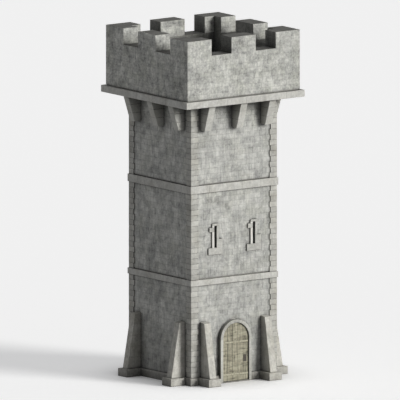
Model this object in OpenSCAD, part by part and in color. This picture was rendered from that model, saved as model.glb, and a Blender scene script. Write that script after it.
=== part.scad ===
// Square stone watchtower: a three-storey shaft with quoins, raking buttresses, two string courses,
// a corbelled cornice with a battlemented parapet, two arrow slits, and an arched plank door.
// Frame: +Z up, origin at the centre of the base, the door in the -Y side. Millimetres.

/* [Shaft] */
// Width of the shaft across its plain wall faces
shaft_w = 4340; // [4000:10:5200]
// Wall thickness above the first floor
wall_t = 600; // [480:10:750]
// Extra wall thickness in the ground storey, which leaves the ledge under the first floor
ledge_w = 100; // [60:5:180]
// Height of the ground storey's walls above the plinth
ground_wall_h = 3875; // [3500:5:4600]
// Height of the middle storey's walls
middle_wall_h = 3645; // [3200:5:4400]
// Height of the upper storey's walls
upper_wall_h = 3425; // [2800:5:4200]

/* [Plinth] */
// Height of the plinth
plinth_h = 325; // [250:5:450]
// Projection of the plinth from the wall face
plinth_out = 115; // [60:5:180]
// Chamfer along the plinth's top edge
plinth_chamfer = 40; // [10:2:60]

/* [String courses] */
// Height of the lower string course, level with the first floor
lower_string_h = 250; // [200:5:320]
// Height of the upper string course
upper_string_h = 320; // [200:5:380]
// Projection of both string courses from the wall face
string_out = 80; // [60:2:120]
// Chamfer along the string courses' top edge
string_chamfer = 12; // [4:1:30]
// Height of the recessed joint above each string course and above the cornice
joint_h = 40; // [20:5:60]
// Depth of the recessed joint behind the masonry's face
joint_in = 50; // [20:5:75]

/* [Quoins] */
// Projection of the quoins from the wall face
quoin_out = 42; // [20:1:50]
// Visible width of the short stones, from the corner
quoin_short = 330; // [280:5:350]
// Visible width of the long stones, from the corner
quoin_long = 385; // [360:5:460]
// Height of one quoin course
quoin_course_h = 225; // [180:5:300]
// Depth that the quoins are let into the wall
quoin_in = 150; // [80:5:200]

/* [Buttresses] */
// Distance from the shaft's corner to the middle of a buttress and of an outer corbel
pier_inset = 610; // [600:5:720]
// Width of a buttress
buttress_w = 330; // [240:5:350]
// Height of a buttress above the ground, at the wall
buttress_h = 2660; // [1800:10:3400]
// Fall of a buttress's top from the wall out to its face
buttress_fall = 40; // [20:5:80]
// Projection of a buttress from the wall face at its top
buttress_top_out = 300; // [160:5:340]
// Projection of a buttress from the wall face at its foot
buttress_foot_out = 705; // [400:5:760]
// Width of the foot block
foot_w = 640; // [420:5:700]
// Projection of the foot block from the wall face
foot_out = 845; // [780:5:850]

/* [Cornice] */
// Number of corbels in each side
corbel_count = 3; // [3:1:5]
// Width of a corbel
corbel_w = 340; // [240:5:350]
// How far the inner corbels stand to the right of even spacing, seen from outside
corbel_shift = 85; // [0:5:150]
// Height of a corbel
corbel_h = 1100; // [700:10:1500]
// Projection of a corbel from the wall face at its foot
corbel_foot_out = 330; // [160:5:380]
// Projection of a corbel from the wall face at its head
corbel_head_out = 680; // [420:5:780]
// Thickness of the cornice slab
cornice_h = 285; // [220:5:400]
// Projection of the cornice slab from the wall face
cornice_out = 870; // [860:5:980]

/* [Parapet] */
// Distance from the cornice's edge to the parapet's face
parapet_setback = 150; // [60:5:200]
// Thickness of the parapet
parapet_t = 750; // [500:10:900]
// Height of the parapet up to the crenel sills
parapet_h = 1860; // [1200:5:2200]
// Height of the merlons above the crenel sills
merlon_h = 679; // [400:1:900]
// Width of one crenel
crenel_w = 1037; // [800:1:1100]
// Width of the middle merlon of a side
merlon_w = 1240; // [1000:10:1400]
// Thickness of the roof deck
deck_t = 300; // [200:10:400]

/* [Arrow slits] */
// Width of a slit
slit_w = 124; // [80:2:160]
// Height of a slit
slit_h = 930; // [700:10:1200]
// Height of the slit's sill above the first floor
slit_rise = 1280; // [1100:10:1500]
// Distance of each slit from the middle of the wall
slit_x = 990; // [850:10:1050]
// How far both slits stand to the right of that, seen from outside
slit_shift = 20; // [0:5:40]
// Width of the splay at the inside face
splay_w = 700; // [400:10:760]
// Projection of the slit's dressed stones from the wall face
dressing_out = 65; // [50:1:100]
// Depth that the dressed stones are let into the wall
dressing_in = 120; // [60:5:200]
// Width of a jamb stone
slit_jamb_w = 110; // [90:5:150]
// Height of the lintel
slit_lintel_h = 90; // [70:5:160]
// Height of the sill block
slit_sill_h = 280; // [160:5:320]
// Reach of the sill and of the long bonding stone from the slit's middle
slit_bond_reach = 365; // [330:5:400]
// Reach of the short bonding stone from the slit's middle
slit_short_reach = 310; // [290:5:360]

/* [Doorway] */
// Width of the door opening
door_w = 1330; // [1000:10:1400]
// Height of the arch's springing above the ground
spring_h = 1835; // [1780:5:2200]
// Width of the dressed surround
surround_w = 130; // [125:5:220]
// Projection of the surround from the wall face
surround_out = 195; // [185:5:210]
// Distance from the surround's face back to the leaf, which stands in its rebate
door_inset = 75; // [65:5:80]
// Height of the threshold above the ground
threshold_h = 40; // [30:5:120]

/* [Door] */
// Thickness of the planks
plank_t = 70; // [50:2:80]
// Number of planks
plank_count = 5; // [3:1:7]
// Gap between two planks
plank_gap = 8; // [4:1:12]
// Lap of the leaf behind the rebate's face
leaf_lap = 15; // [10:1:25]
// Gap between the leaf and the rebate's face in front of it
leaf_gap = 5; // [5:1:10]
// Gap under the leaf
leaf_lift = 10; // [6:1:20]
// Height of a front rail
rail_h = 75; // [50:5:110]
// Thickness of a front rail
rail_t = 20; // [12:1:30]
// Height of the lower rail's middle above the ground
low_rail_z = 330; // [250:5:500]
// Height of the upper rail's middle above the ground
high_rail_z = 1680; // [1300:5:1700]

/* [Ironwork] */
// Radius of a hinge pin
pin_r = 10; // [8:0.5:12]
// Radial clearance of a hinge pin in its knuckle
pin_play = 0.1; // [0.05:0.01:0.1]
// Wall of a knuckle round its pin
knuckle_wall = 8; // [6:0.5:10]
// Height of a knuckle
knuckle_h = 60; // [40:5:80]
// Thickness of a strap
strap_t = 8; // [6:1:10]
// Height of a strap
strap_h = 50; // [35:5:60]
// Length of a strap along the leaf
strap_l = 1000; // [600:10:1100]
// Width of the lock plate
plate_w = 170; // [110:5:180]
// Height of the lock plate
plate_h = 290; // [200:5:320]
// Thickness of the lock plate
plate_t = 6; // [4:1:10]
// Height of the lock plate's middle above the ground
plate_z = 966; // [850:1:1100]
// Middle radius of the pull ring
ring_r = 48; // [40:1:52]
// Radius of the pull ring's bar
ring_bar_r = 6; // [5:0.5:7]

/* [First floor] */
// Number of joists
joist_count = 5; // [4:1:7]
// Width of a joist
joist_w = 150; // [110:5:180]
// Thickness of the floor boards
board_t = 50; // [35:5:60]

/* [Hidden] */
half = shaft_w / 2;
ground_t = wall_t + ledge_w;
room_half = half - wall_t;
ground_room_half = half - ground_t;
lower_string_z = plinth_h + ground_wall_h;
middle_wall_z = lower_string_z + lower_string_h;
upper_string_z = middle_wall_z + middle_wall_h;
upper_wall_z = upper_string_z + upper_string_h;
cornice_z = upper_wall_z + upper_wall_h;
parapet_z = cornice_z + cornice_h;
crenel_z = parapet_z + parapet_h;
cornice_half = half + cornice_out;
parapet_half = cornice_half - parapet_setback;
well_half = parapet_half - parapet_t;
quoin_half = half + quoin_out;
pier_x = half - pier_inset;
plinth_half = half + plinth_out;
slit_places = [slit_shift - slit_x, slit_shift + slit_x];
slit_z = middle_wall_z + slit_rise;
slit_head = slit_z + slit_h;
slit_jamb_reach = slit_w / 2 + slit_jamb_w;
short_bond_h = 180;
short_bond_drop = 250;
long_bond_h = 360;
// Doorway and hinge line, all from the opening and the ironwork
opening_r = door_w / 2;
surround_r = opening_r + surround_w;
leaf_r = opening_r + leaf_lap;
running_gap = 5;
knuckle_r = pin_r + pin_play + knuckle_wall;
hinge_x = -(leaf_r + running_gap + knuckle_r);
surround_y = -half - surround_out;
leaf_front = surround_y + door_inset;
leaf_back = leaf_front + plank_t;
rebate_y = leaf_front - leaf_gap;
hinge_y = leaf_back + strap_t / 2;
leaf_foot = threshold_h + leaf_lift;
// The leaf's round head swings in through the surround and the wall. The open leaf stands along
// Y, and the further in, the taller it is. This is how far from the arch's centre it then reaches
// at a depth behind the hinge line.
function open_leaf_reach(depth) = norm([
    hinge_x + strap_t / 2, sqrt(pow(leaf_r, 2) - pow(hinge_x + depth, 2))
]);
swing_gap = 8;
spandrel_t = 50;
rebate_depth = -half - hinge_y;
reveal_half = ceil(max(
    leaf_r + 2 * (running_gap + knuckle_r), open_leaf_reach(rebate_depth) + swing_gap
));
spandrel_r = ceil(open_leaf_reach(rebate_depth + spandrel_t) + swing_gap);
rail_inset = 18;
plate_front = leaf_front - plate_t;
plate_inset = 95;
plate_x = opening_r - plate_inset - plate_w / 2;
pintle_h = 30;
pintle_arm_w = 24;
bearing_gap = 0.3;
boss_r = 15;
boss_l = 34;
eye_play = 3;
eye_r = ring_bar_r + eye_play;
eye_reach = sqrt(pow(boss_r, 2) - pow(eye_r, 2));
eye_y = 21;
eye_rise = 50;
joist_h = lower_string_h - board_t;
finest = 240;
fine = 96;
coarse = 48;
slop = 1;
stone_grey = "#b4b3ac";
stone_light = "#c8c5ba";
stone_parapet = "#aeada6";
oak = "#a39f88";
oak_light = "#b7b29a";
iron = "#3d3a36";

// Turns a piece made for the front side round to another side
module to_right() { rotate([0, 0, 90]) children(); }
module to_back() { rotate([0, 0, 180]) children(); }
module to_left() { rotate([0, 0, 270]) children(); }

// A box given by its low corner and its high corner
module block(low, high) {
    translate(low) cube(high - low);
}

// A profile drawn in Y and Z, carried along X from x0 over a length
module along_x(x0, length) {
    translate([x0, 0, 0]) rotate([90, 0, 90]) linear_extrude(length) children();
}

// A square block with a chamfer along its four top edges
module chamfered_block(reach, h, chamfer) {
    side_view = [
        [-reach, 0], [reach, 0], [reach, h - chamfer],
        [reach - chamfer, h], [chamfer - reach, h], [-reach, h - chamfer]
    ];
    intersection() {
        along_x(-reach, 2 * reach) polygon(side_view);
        rotate([0, 0, 90]) along_x(-reach, 2 * reach) polygon(side_view);
    }
}

// A square course with a chamfered top edge and a square well through it
module course(z, reach, well, h, chamfer) {
    difference() {
        translate([0, 0, z]) chamfered_block(reach, h, chamfer);
        block([-well, -well, z - slop], [well, well, z + h + slop]);
    }
}

// The ring of space that a recessed joint takes from the foot of masonry of a half width
module recessed_joint(z, masonry_half) {
    outer = masonry_half + slop;
    inner = masonry_half - joint_in;
    difference() {
        block([-outer, -outer, z - slop], [outer, outer, z + joint_h]);
        block([-inner, -inner, z - 2 * slop], [inner, inner, z + joint_h + slop]);
    }
}

module shaft_joints() {
    recessed_joint(middle_wall_z, half);
    recessed_joint(upper_wall_z, half);
}

// ---- Plinth ----
module plinth_course() {
    course(0, plinth_half, ground_room_half, plinth_h, plinth_chamfer);
}

module plinth_end(x_reach) {
    intersection() {
        plinth_course();
        block([-x_reach, -plinth_half - slop, -slop], [x_reach, -ground_room_half, plinth_h + slop]);
    }
}

module plinth_front() {
    color(stone_light) difference() {
        plinth_end(plinth_half + slop);
        block([-reveal_half, -plinth_half - slop, -slop], [reveal_half, 0, plinth_h + slop]);
        block([-surround_r, -plinth_half - slop, -slop], [surround_r, -half, plinth_h + slop]);
    }
}

module plinth_back() {
    color(stone_light) to_back() plinth_end(plinth_half + slop);
}

module plinth_left() {
    color(stone_light) to_left() plinth_end(ground_room_half);
}

module plinth_right() {
    color(stone_light) to_right() plinth_end(ground_room_half);
}

// ---- Floors ----
module threshold() {
    color(stone_light) union() {
        block([-reveal_half, rebate_y, 0], [reveal_half, -ground_room_half, threshold_h]);
        block([-opening_r, surround_y, 0], [opening_r, rebate_y + slop, threshold_h]);
    }
}

module ground_floor() {
    color(stone_grey) block(
        [-ground_room_half, -ground_room_half, 0],
        [ground_room_half, ground_room_half, threshold_h]
    );
}

module first_floor_joists() {
    span = 2 * room_half;
    pitch = span / joist_count;
    color(oak) for (i = [0 : joist_count - 1]) {
        x = -room_half + (i + 0.5) * pitch;
        block(
            [x - joist_w / 2, -room_half, lower_string_z],
            [x + joist_w / 2, room_half, lower_string_z + joist_h]
        );
    }
}

module first_floor_boards() {
    color(oak) block(
        [-room_half, -room_half, lower_string_z + joist_h],
        [room_half, room_half, middle_wall_z]
    );
}

module roof_deck() {
    color(stone_grey) block(
        [-well_half, -well_half, parapet_z],
        [well_half, well_half, parapet_z + deck_t]
    );
}

// ---- Walls ----
// Plan of the quoin stones in the front left corner, which is also what the wall is cut back by
module quoin_plan() {
    translate([-quoin_half, -quoin_half]) {
        square([quoin_short, quoin_in + quoin_out]);
        square([quoin_in + quoin_out, quoin_short]);
    }
}

module quoin_recesses(z, h) {
    for (mirrored = [0, 1]) {
        mirror([mirrored, 0, 0]) translate([0, 0, z - slop]) linear_extrude(h + 2 * slop) quoin_plan();
    }
}

// A storey's wall across the front or back, cut back at both ends for the quoins
module end_wall(z, h, t) {
    difference() {
        block([-half, -half, z], [half, -half + t, z + h]);
        quoin_recesses(z, h);
    }
}

// A storey's wall between the end walls
module flank_wall(z, h, t) {
    block([t - half, -half, z], [half - t, -half + t, z + h]);
}

// The walls of the two storeys above the first floor
module upper_end_walls() {
    difference() {
        union() {
            end_wall(middle_wall_z, middle_wall_h, wall_t);
            end_wall(upper_wall_z, upper_wall_h, wall_t);
        }
        shaft_joints();
    }
}

module upper_flank_walls() {
    difference() {
        union() {
            flank_wall(middle_wall_z, middle_wall_h, wall_t);
            flank_wall(upper_wall_z, upper_wall_h, wall_t);
        }
        shaft_joints();
    }
}

module flank_walls() {
    flank_wall(plinth_h, ground_wall_h, ground_t);
    upper_flank_walls();
}

module back_wall() {
    color(stone_grey) to_back() {
        end_wall(plinth_h, ground_wall_h, ground_t);
        upper_end_walls();
    }
}

module left_wall() {
    color(stone_grey) to_left() flank_walls();
}

module right_wall() {
    color(stone_grey) to_right() flank_walls();
}

module front_wall_door_left() {
    color(stone_grey) intersection() {
        end_wall(plinth_h, ground_wall_h, ground_t);
        block([-half, -half, plinth_h], [-reveal_half, 0, lower_string_z]);
    }
}

module front_wall_door_right() {
    color(stone_grey) intersection() {
        end_wall(plinth_h, ground_wall_h, ground_t);
        block([reveal_half, -half, plinth_h], [half, 0, lower_string_z]);
    }
}

// Masonry over the doorway: a square head over the reveal, and a thin arched face in front of it
// that bears the surround and leaves the leaf room to swing inwards
module front_wall_over_door() {
    color(stone_grey) difference() {
        block([-reveal_half, -half, spring_h], [reveal_half, -ground_room_half, lower_string_z]);
        block(
            [-reveal_half - slop, -half + spandrel_t, spring_h - slop],
            [reveal_half + slop, 0, spring_h + spandrel_r]
        );
        translate([0, slop - half + spandrel_t, spring_h]) rotate([90, 0, 0])
            cylinder(r = spandrel_r, h = spandrel_t + 2 * slop, $fn = finest);
    }
}

// Outline of one slit's dressed stones, seen from the front, with the slit in its middle
module slit_lintel_outline() {
    translate([-slit_jamb_reach, slit_head]) square([2 * slit_jamb_reach, slit_lintel_h]);
}

module slit_sill_outline() {
    translate([-slit_bond_reach, slit_z - slit_sill_h]) square([2 * slit_bond_reach, slit_sill_h]);
}

module slit_left_jamb_outline() {
    translate([-slit_jamb_reach, slit_z]) square([slit_jamb_w, slit_h]);
    translate([-slit_short_reach, slit_head - short_bond_drop])
        square([slit_short_reach - slit_w / 2, short_bond_h]);
}

module slit_right_jamb_outline() {
    translate([slit_w / 2, slit_z]) square([slit_jamb_w, slit_h]);
    translate([slit_w / 2, slit_z]) square([slit_bond_reach - slit_w / 2, long_bond_h]);
}

module slit_outline() {
    slit_lintel_outline();
    slit_sill_outline();
    slit_left_jamb_outline();
    slit_right_jamb_outline();
    translate([-slit_w / 2 - slop, slit_z - slop]) square([slit_w + 2 * slop, slit_h + 2 * slop]);
}

// Carries an outline seen from the front through the wall, from y0 to y1, at both slits
module at_slits(y0, y1) {
    for (x = slit_places) {
        translate([x, y1, 0]) rotate([90, 0, 0]) linear_extrude(y1 - y0) children();
    }
}

// The slits' own space in plan: straight between the dressed stones, then splayed to the room
module slit_throats() {
    for (x = slit_places) {
        translate([x, 0, slit_z]) linear_extrude(slit_h) polygon([
            [-slit_w / 2, -half - slop], [slit_w / 2, -half - slop],
            [slit_w / 2, dressing_in - half], [splay_w / 2, -room_half],
            [splay_w / 2, -room_half + slop], [-splay_w / 2, -room_half + slop],
            [-splay_w / 2, -room_half], [-slit_w / 2, dressing_in - half]
        ]);
    }
}

module front_wall_upper() {
    color(stone_grey) difference() {
        upper_end_walls();
        at_slits(-half - slop, dressing_in - half) slit_outline();
        slit_throats();
    }
}

module window_lintels() {
    color(stone_light) at_slits(-half - dressing_out, dressing_in - half) slit_lintel_outline();
}

module window_jambs() {
    color(stone_light) {
        at_slits(-half - dressing_out, dressing_in - half) slit_left_jamb_outline();
        at_slits(-half - dressing_out, dressing_in - half) slit_right_jamb_outline();
    }
}

module window_sills() {
    color(stone_light) at_slits(-half - dressing_out, dressing_in - half) slit_sill_outline();
}

// ---- String courses ----
module string_courses() {
    color(stone_light) {
        course(lower_string_z, half + string_out, room_half, lower_string_h, string_chamfer);
        course(upper_string_z, half + string_out, room_half, upper_string_h, string_chamfer);
    }
}

// ---- Quoins ----
// One storey of quoins in the front left corner. The bond alternates: a long stone on the front
// turns a short end to the side, and the next course is the other way round.
module quoin_stack(z, h) {
    courses = round(h / quoin_course_h);
    course_h = h / courses;
    translate([0, 0, z]) intersection() {
        union() {
            linear_extrude(h) quoin_plan();
            for (i = [0 : courses - 1]) {
                reach = (i % 2 == 0) ? [quoin_long, quoin_out] : [quoin_out, quoin_long];
                translate([-quoin_half, -quoin_half, i * course_h])
                    linear_extrude(course_h) square(reach);
            }
        }
        block([-half - quoin_half, -half - quoin_half, 0], [0, 0, h]);
    }
}

module corner_quoins() {
    color(stone_light) {
        quoin_stack(plinth_h, ground_wall_h);
        quoin_stack(middle_wall_z, middle_wall_h);
        quoin_stack(upper_wall_z, upper_wall_h);
    }
}

module quoins_front_left() { corner_quoins(); }
module quoins_front_right() { mirror([1, 0, 0]) corner_quoins(); }
module quoins_back_left() { mirror([0, 1, 0]) corner_quoins(); }
module quoins_back_right() { to_back() corner_quoins(); }

// ---- Buttresses ----
// A raking buttress on a wider foot block
module buttress() {
    along_x(-buttress_w / 2, buttress_w) polygon([
        [-half, plinth_h], [-half - buttress_foot_out, plinth_h],
        [-half - buttress_top_out, buttress_h - buttress_fall], [-half, buttress_h]
    ]);
    block([-foot_w / 2, -half - foot_out, 0], [foot_w / 2, -plinth_half, plinth_h]);
}

module buttress_pair() {
    color(stone_light) for (x = [-pier_x, pier_x]) translate([x, 0, 0]) buttress();
}

module buttresses_front() { buttress_pair(); }
module buttresses_back() { to_back() buttress_pair(); }
module buttresses_left() { to_left() buttress_pair(); }
module buttresses_right() { to_right() buttress_pair(); }

// ---- Cornice and corbels ----
module corbel() {
    along_x(-corbel_w / 2, corbel_w) polygon([
        [-half, cornice_z - corbel_h], [-half - corbel_foot_out, cornice_z - corbel_h],
        [-half - corbel_head_out, cornice_z], [-half, cornice_z]
    ]);
}

module corbel_row() {
    pitch = 2 * pier_x / (corbel_count - 1);
    color(stone_light) for (i = [0 : corbel_count - 1]) {
        shift = (i > 0 && i < corbel_count - 1) ? corbel_shift : 0;
        translate([i * pitch - pier_x + shift, 0, 0]) corbel();
    }
}

module corbels_front() { corbel_row(); }
module corbels_back() { to_back() corbel_row(); }
module corbels_left() { to_left() corbel_row(); }
module corbels_right() { to_right() corbel_row(); }

module cornice() {
    color(stone_light) course(cornice_z, cornice_half, room_half, cornice_h, string_chamfer);
}

// ---- Parapet ----
module crenels() {
    for (s = [-1, 1]) {
        middle = s * (merlon_w + crenel_w) / 2;
        block(
            [middle - crenel_w / 2, -parapet_half - slop, crenel_z],
            [middle + crenel_w / 2, -well_half + slop, crenel_z + merlon_h + slop]
        );
    }
}

// A battlemented side: the whole width at the front and back, the well's width at the flanks
module parapet_side(reach) {
    color(stone_parapet) difference() {
        block([-reach, -parapet_half, parapet_z], [reach, -well_half, crenel_z + merlon_h]);
        recessed_joint(parapet_z, parapet_half);
        crenels();
    }
}

module parapet_front() { parapet_side(parapet_half); }
module parapet_back() { to_back() parapet_side(parapet_half); }
module parapet_left() { to_left() parapet_side(well_half); }
module parapet_right() { to_right() parapet_side(well_half); }

// ---- Door surround ----
// Both parts are rebated behind: the leaf stands in the rebate, close behind the surround's face
module door_jambs() {
    color(stone_light) for (mirrored = [0, 1]) {
        mirror([mirrored, 0, 0]) linear_extrude(spring_h) polygon([
            [opening_r, surround_y], [surround_r, surround_y], [surround_r, -half],
            [reveal_half, -half], [reveal_half, rebate_y], [opening_r, rebate_y]
        ]);
    }
}

module door_arch() {
    rebate_l = -half - rebate_y;
    color(stone_light) intersection() {
        translate([0, -half, spring_h]) rotate([90, 0, 0]) difference() {
            cylinder(r = surround_r, h = surround_out, $fn = fine);
            translate([0, 0, -slop]) cylinder(r = opening_r, h = surround_out + 2 * slop, $fn = fine);
            translate([0, 0, -slop]) cylinder(r = reveal_half, h = rebate_l + slop, $fn = fine);
        }
        block(
            [-surround_r - slop, surround_y - slop, spring_h],
            [surround_r + slop, slop - half, spring_h + surround_r + slop]
        );
    }
}

// ---- Door leaf ----
// The whole leaf as one slab with a round head
module leaf_slab() {
    block([-leaf_r, leaf_front, leaf_foot], [leaf_r, leaf_back, spring_h]);
    intersection() {
        translate([0, leaf_back, spring_h]) rotate([90, 0, 0])
            cylinder(r = leaf_r, h = plank_t, $fn = fine);
        block([-leaf_r, leaf_front, spring_h - slop], [leaf_r, leaf_back, spring_h + leaf_r]);
    }
}

module door_planks() {
    plank_w = 2 * leaf_r / plank_count;
    color(oak) difference() {
        leaf_slab();
        for (i = [1 : plank_count - 1]) {
            x = i * plank_w - leaf_r;
            block(
                [x - plank_gap / 2, leaf_front - slop, 0],
                [x + plank_gap / 2, leaf_back + slop, spring_h + leaf_r + slop]
            );
        }
    }
}

module door_rails() {
    color(oak_light) for (z = [low_rail_z, high_rail_z]) {
        block(
            [rail_inset - opening_r, leaf_front - rail_t, z - rail_h / 2],
            [opening_r - rail_inset, leaf_front, z + rail_h / 2]
        );
    }
}

// ---- Ironwork ----
// A strap along the back of the leaf, rolled round the hinge pin into a knuckle
module door_straps() {
    color(iron) for (z = [low_rail_z, high_rail_z]) difference() {
        union() {
            translate([hinge_x, hinge_y, z - knuckle_h / 2])
                cylinder(r = knuckle_r, h = knuckle_h, $fn = coarse);
            block(
                [hinge_x, leaf_back, z - strap_h / 2],
                [strap_l - leaf_r, leaf_back + strap_t, z + strap_h / 2]
            );
        }
        translate([hinge_x, hinge_y, z - knuckle_h])
            cylinder(r = pin_r + pin_play, h = 2 * knuckle_h, $fn = coarse);
    }
}

// A pin under each knuckle on an arm from the jamb's rebate
module hinge_pintles() {
    color(iron) for (z = [low_rail_z, high_rail_z]) {
        seat_z = z - knuckle_h / 2 - bearing_gap;
        union() {
            translate([hinge_x, hinge_y, seat_z - pintle_h]) {
                cylinder(r = knuckle_r, h = pintle_h, $fn = coarse);
                cylinder(r = pin_r, h = pintle_h + knuckle_h + pin_r, $fn = coarse);
            }
            block(
                [-reveal_half, hinge_y - pintle_arm_w / 2, seat_z - pintle_h],
                [hinge_x, hinge_y + pintle_arm_w / 2, seat_z]
            );
        }
    }
}

// The lock plate with the boss whose eye holds the pull ring
module lock_plate() {
    color(iron) difference() {
        union() {
            block(
                [plate_x - plate_w / 2, plate_front, plate_z - plate_h / 2],
                [plate_x + plate_w / 2, leaf_front, plate_z + plate_h / 2]
            );
            translate([plate_x, plate_front + slop, plate_z + eye_rise]) rotate([90, 0, 0])
                cylinder(r = boss_r, h = boss_l + slop, $fn = coarse);
        }
        translate([plate_x - boss_r - slop, plate_front - eye_y, plate_z + eye_rise]) rotate([0, 90, 0])
            cylinder(r = eye_r, h = 2 * (boss_r + slop), $fn = coarse);
    }
}

// A round bar bent into a ring, hanging in the eye of the boss
module pull_ring() {
    hang = eye_r - bearing_gap + sqrt(pow(ring_r - ring_bar_r, 2) - pow(eye_reach, 2));
    color(iron) translate([plate_x, plate_front - eye_y, plate_z + eye_rise - hang]) rotate([90, 0, 0])
        rotate_extrude($fn = fine) translate([ring_r, 0]) circle(r = ring_bar_r, $fn = 24);
}

plinth_front();
plinth_back();
plinth_left();
plinth_right();
threshold();
ground_floor();
front_wall_door_left();
front_wall_door_right();
front_wall_over_door();
front_wall_upper();
back_wall();
left_wall();
right_wall();
string_courses();
quoins_front_left();
quoins_front_right();
quoins_back_left();
quoins_back_right();
buttresses_front();
buttresses_back();
buttresses_left();
buttresses_right();
window_lintels();
window_jambs();
window_sills();
door_jambs();
door_arch();
first_floor_joists();
first_floor_boards();
corbels_front();
corbels_back();
corbels_left();
corbels_right();
cornice();
roof_deck();
parapet_front();
parapet_back();
parapet_left();
parapet_right();
hinge_pintles();
door_planks();
door_rails();
door_straps();
lock_plate();
pull_ring();
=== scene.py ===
import math

import bpy
import numpy as np
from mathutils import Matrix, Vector


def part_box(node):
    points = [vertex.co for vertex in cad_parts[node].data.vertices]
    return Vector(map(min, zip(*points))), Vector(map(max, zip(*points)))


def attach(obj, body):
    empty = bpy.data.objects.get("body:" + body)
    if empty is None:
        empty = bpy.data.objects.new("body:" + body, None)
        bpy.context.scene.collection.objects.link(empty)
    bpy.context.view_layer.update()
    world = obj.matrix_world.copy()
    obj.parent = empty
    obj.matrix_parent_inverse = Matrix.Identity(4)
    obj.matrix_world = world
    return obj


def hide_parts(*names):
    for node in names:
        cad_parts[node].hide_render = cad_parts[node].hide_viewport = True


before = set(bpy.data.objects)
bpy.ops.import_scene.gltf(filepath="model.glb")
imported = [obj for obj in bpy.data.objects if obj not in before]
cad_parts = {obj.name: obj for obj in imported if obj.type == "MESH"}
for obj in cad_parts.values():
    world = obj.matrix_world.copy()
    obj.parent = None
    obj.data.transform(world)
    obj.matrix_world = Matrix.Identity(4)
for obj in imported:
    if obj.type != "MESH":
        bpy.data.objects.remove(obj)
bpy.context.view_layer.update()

scene = bpy.context.scene

# ---- Measures, in metres ----
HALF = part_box("back_wall")[1].y
QUOIN_FACE = -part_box("quoins_front_left")[0].x
QUOIN_LONG = 0.385
QUOIN_SHORT = 0.33
QUOIN_COURSE = 0.225
PLINTH_FACE, PLINTH_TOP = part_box("plinth_back")[1].yz
GROUND_ROOM_HALF, FLOOR_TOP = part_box("ground_floor")[1].xz
ROOM_HALF, MIDDLE_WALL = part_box("first_floor_boards")[1].xz
LOWER_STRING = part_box("string_courses")[0].z
BAND_FACE, UPPER_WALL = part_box("string_courses")[1].xz
STRING_TALL = 0.32
UPPER_STRING = UPPER_WALL - STRING_TALL
JOINT_TALL = 0.040
CORNICE_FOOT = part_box("cornice")[0].z
CORNICE_FACE, CORNICE_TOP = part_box("cornice")[1].xz
PARAPET_FACE, TOWER_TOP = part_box("parapet_back")[1].yz
PARAPET_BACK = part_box("parapet_left")[1].y
DECK_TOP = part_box("roof_deck")[1].z
MERLON_TALL = 0.679
CRENEL_SILL = TOWER_TOP - MERLON_TALL
CRENEL_IN = 0.62
CRENEL_OUT = 1.657
SURROUND_FACE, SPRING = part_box("door_arch")[0].yz
SURROUND_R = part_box("door_arch")[1].x
SURROUND_WIDE = 0.13
OPENING_R = SURROUND_R - SURROUND_WIDE
REVEAL_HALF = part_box("threshold")[1].x
LEAF_FRONT, LEAF_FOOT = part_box("door_planks")[0].yz
LEAF_R, LEAF_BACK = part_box("door_planks")[1].xy
LEAF_PLAY = 0.005
REBATE_Y = LEAF_FRONT - LEAF_PLAY
SLITS = (-0.97, 1.01)
SLIT_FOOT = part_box("window_sills")[1].z
SLIT_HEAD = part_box("window_lintels")[0].z
SLIT_HALF = 0.062
SLIT_STRIP = 0.172
DRESSING_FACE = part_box("window_sills")[0].y
FACING_LAP = 0.01
SLIT_LAP = 0.012

X, Y, Z = np.eye(3)
SIDES = ("front", "right", "back", "left")
SHADED = ("left", "back")


# ---- Shapes from whole arrays ----
def shape(points, faces, tone=0.0, wear=0.0):
    """Points and arrays of faces, with a tone and a wear for each point or one for all of them."""
    points = points.reshape(-1, 3)
    level = np.zeros(len(points))
    return {"points": points, "faces": faces, "tone": level + tone, "wear": level + wear}


def joined(parts):
    """One shape from several, with the face numbers moved up past the points before."""
    starts = np.cumsum([0] + [len(part["points"]) for part in parts])
    faces = [f + start for part, start in zip(parts, starts) for f in part["faces"]]
    points, tone, wear = (np.concatenate([part[key] for part in parts])
                          for key in ("points", "tone", "wear"))
    return shape(points, faces, tone, wear)


def turned(part, quarter):
    """The part turned about the tower's axis by quarter turns, anticlockwise seen from above."""
    c, s = [(1, 0), (0, 1), (-1, 0), (0, -1)][quarter]
    x, y, z = part["points"].T
    return dict(part, points=np.stack([c * x - s * y, s * x + c * y, z], 1))


def mirrored(part):
    """The part mirrored left to right, with every face turned over so that it still points out."""
    return dict(part, points=part["points"] * [-1, 1, 1], faces=[f[:, ::-1] for f in part["faces"]])


def wander(points, size, reach):
    """Hand-worked unevenness: each coordinate moves by a sum of slow sine waves of the others."""
    x, y, z = points.T * (2 * math.pi / reach)
    return points + size / 3 * np.stack([
        np.sin(1.0 * y + 1.7 * z) + np.sin(2.3 * z + 0.6 * y + 1.0) + np.sin(3.1 * y + 2.2 * z + 4.0),
        np.sin(1.3 * z + 0.9 * x) + np.sin(2.9 * x + 1.1 * z + 2.0) + np.sin(3.7 * z + 1.9 * x + 5.0),
        0.5 * np.sin(1.1 * x + 1.4 * y) + 0.5 * np.sin(2.7 * y + 1.2 * x + 3.0)], 1)


def grid_faces(rows, cols):
    """Quads of a grid of points, and the numbers of its edge points in turn round it."""
    number = np.arange(rows * cols).reshape(rows, cols)
    quads = np.stack([number[:-1, :-1], number[:-1, 1:], number[1:, 1:], number[1:, :-1]], -1)
    ring = np.concatenate([number[0, :-1], number[:-1, -1], number[-1, :0:-1], number[:0:-1, 0]])
    return quads.reshape(-1, 4), ring


def skirt(ring, back):
    """Quads from an edge ring of points to the ring behind it."""
    return np.stack([np.roll(ring, -1), ring, back, np.roll(back, -1)], -1)


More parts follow.
